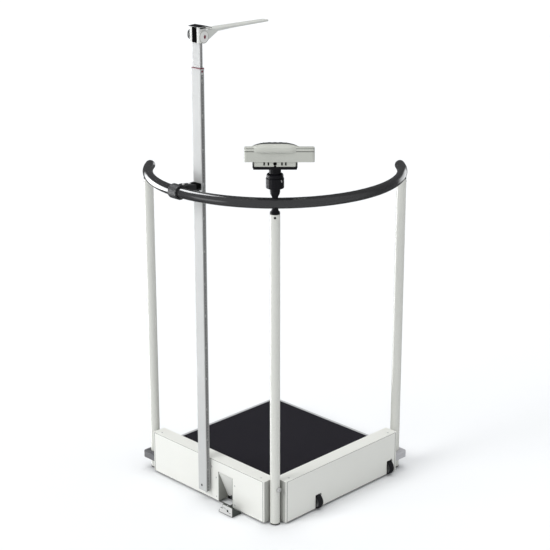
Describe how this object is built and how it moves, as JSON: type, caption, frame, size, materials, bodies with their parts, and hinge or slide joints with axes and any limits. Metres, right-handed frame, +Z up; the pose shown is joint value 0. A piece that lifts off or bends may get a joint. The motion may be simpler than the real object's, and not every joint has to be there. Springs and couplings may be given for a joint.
{
  "type": "handrail weighing scale",
  "caption": "Floor scale with a matted platform, upright side housings, posts with a half-round handrail, a swivelling display and a telescopic height rod.",
  "frame": {"origin": "on the floor, under the middle of the whole object's bounding box", "axes": "+Z up; platform edges along X and Y; the front post and display at the corner (+X, -Y); people step on from the -X or +Y edge; the height rod stands on the -Y side"},
  "size_m": [0.7152, 0.7216, 1.4626],
  "materials": {
    "white_paint": "satin warm-white powder coat",
    "post_paint": "satin warm-white powder coat on tube",
    "aluminium": "satin anodised",
    "steel": "satin zinc plated",
    "mat_rubber": "matt, fine grain",
    "black_rubber": "matt",
    "black_plastic": "satin moulded",
    "rail_coat": "glossy charcoal coating",
    "red_plastic": "satin moulded",
    "white_plastic": "satin moulded",
    "grey_plastic": "fine spark texture",
    "button_grey": "satin moulded",
    "lcd": "clear cover over a grey-green display",
    "circuit_board": "green solder mask"
  },
  "bodies": {
    "frame": {"rubber_mat": "mat_rubber", "deck_tray": "steel", "edge_rail_left": "aluminium", "edge_rail_back": "aluminium", "corner_block_left": "aluminium", "corner_block_right": "aluminium", "left_housing": "white_paint", "left_cover": "white_paint", "recess_plate": "white_paint", "power_inlet": "black_plastic", "junction_board": "circuit_board", "floor_bracket": "steel", "right_housing": "white_paint", "right_cover": "white_paint", "wheel_axle": "steel", "handrail": "rail_coat", "rail_cap_left": "black_plastic", "rail_cap_right": "black_plastic", "rod_outer": "aluminium", "rod_collar": "red_plastic", "rod_spacer": "black_plastic", "rail_clamp_inner": "black_plastic", "rail_clamp_outer": "black_plastic", "display_adapter": "black_plastic", "load_cell_1": "aluminium", "load_cell_2": "aluminium", "load_cell_3": "aluminium", "load_cell_4": "aluminium", "post_front": "post_paint", "post_foot_front": "black_rubber", "post_bolt_front": "steel", "rail_adapter_front": "black_plastic", "post_left": "post_paint", "post_foot_left": "black_rubber", "post_bolt_left": "steel", "rail_adapter_left": "black_plastic", "post_right": "post_paint", "post_foot_right": "black_rubber", "post_bolt_right": "steel", "rail_adapter_right": "black_plastic"},
    "telescope": {"rod_inner": "aluminium", "head_body": "white_plastic", "head_cap": "black_plastic"},
    "tongue": {"tongue": "white_plastic"},
    "release_button": {"release_button": "button_grey"},
    "clamp_knob": {"clamp_knob": "black_plastic"},
    "console": {"display_neck": "black_plastic", "console_case": "grey_plastic", "console_face": "grey_plastic", "lcd_window": "lcd", "console_board": "circuit_board"},
    "key_1": {"key_1": "button_grey"},
    "key_2": {"key_2": "button_grey"},
    "key_3": {"key_3": "button_grey"},
    "wheel_1": {"wheel_1": "black_rubber"},
    "wheel_2": {"wheel_2": "black_rubber"},
    "foot_1": {"levelling_foot_1": "black_rubber"},
    "foot_2": {"levelling_foot_2": "black_rubber"},
    "foot_3": {"levelling_foot_3": "black_rubber"},
    "foot_4": {"levelling_foot_4": "black_rubber"}
  },
  "joints": [
    {"name": "rod_slide", "type": "slide", "parent": "frame", "child": "telescope", "axis": [0, 0, 1], "range_m": [-0.06, 0.69]},
    {"name": "tongue_fold", "type": "hinge", "parent": "telescope", "child": "tongue", "pos_m": [-0.01514, -0.26372, 1.4315], "axis": [1, 0, 0], "range_deg": [-90, 0]},
    {"name": "release_press", "type": "slide", "parent": "telescope", "child": "release_button", "axis": [1, 0, 0], "range_m": [0, 0.003], "stiffness_N_per_m": 900},
    {"name": "knob_turn", "type": "hinge", "parent": "frame", "child": "clamp_knob", "pos_m": [0.22953, -0.22639, 1.05], "axis": [0, 0, 1], "range_deg": [0, 120]},
    {"name": "display_swivel", "type": "hinge", "parent": "frame", "child": "console", "pos_m": [0.22953, -0.22639, 1.09], "axis": [0, 0, 1], "range_deg": [-160, 160]},
    {"name": "key_1_press", "type": "slide", "parent": "console", "child": "key_1", "axis": [0.147, -0.147, -0.9781], "range_m": [0, 0.001], "stiffness_N_per_m": 600},
    {"name": "key_2_press", "type": "slide", "parent": "console", "child": "key_2", "axis": [0.147, -0.147, -0.9781], "range_m": [0, 0.001], "stiffness_N_per_m": 600},
    {"name": "key_3_press", "type": "slide", "parent": "console", "child": "key_3", "axis": [0.147, -0.147, -0.9781], "range_m": [0, 0.001], "stiffness_N_per_m": 600},
    {"name": "wheel_1_spin", "type": "hinge", "parent": "frame", "child": "wheel_1", "pos_m": [0.24936, -0.06922, 0.0252], "axis": [0, 1, 0], "continuous": true},
    {"name": "wheel_2_spin", "type": "hinge", "parent": "frame", "child": "wheel_2", "pos_m": [0.24936, 0.25978, 0.0252], "axis": [0, 1, 0], "continuous": true},
    {"name": "foot_1_adjust", "type": "slide", "parent": "frame", "child": "foot_1", "axis": [0, 0, -1], "range_m": [0, 0.01]},
    {"name": "foot_2_adjust", "type": "slide", "parent": "frame", "child": "foot_2", "axis": [0, 0, -1], "range_m": [0, 0.01]},
    {"name": "foot_3_adjust", "type": "slide", "parent": "frame", "child": "foot_3", "axis": [0, 0, -1], "range_m": [0, 0.01]},
    {"name": "foot_4_adjust", "type": "slide", "parent": "frame", "child": "foot_4", "axis": [0, 0, -1], "range_m": [0, 0.01]}
  ]
}
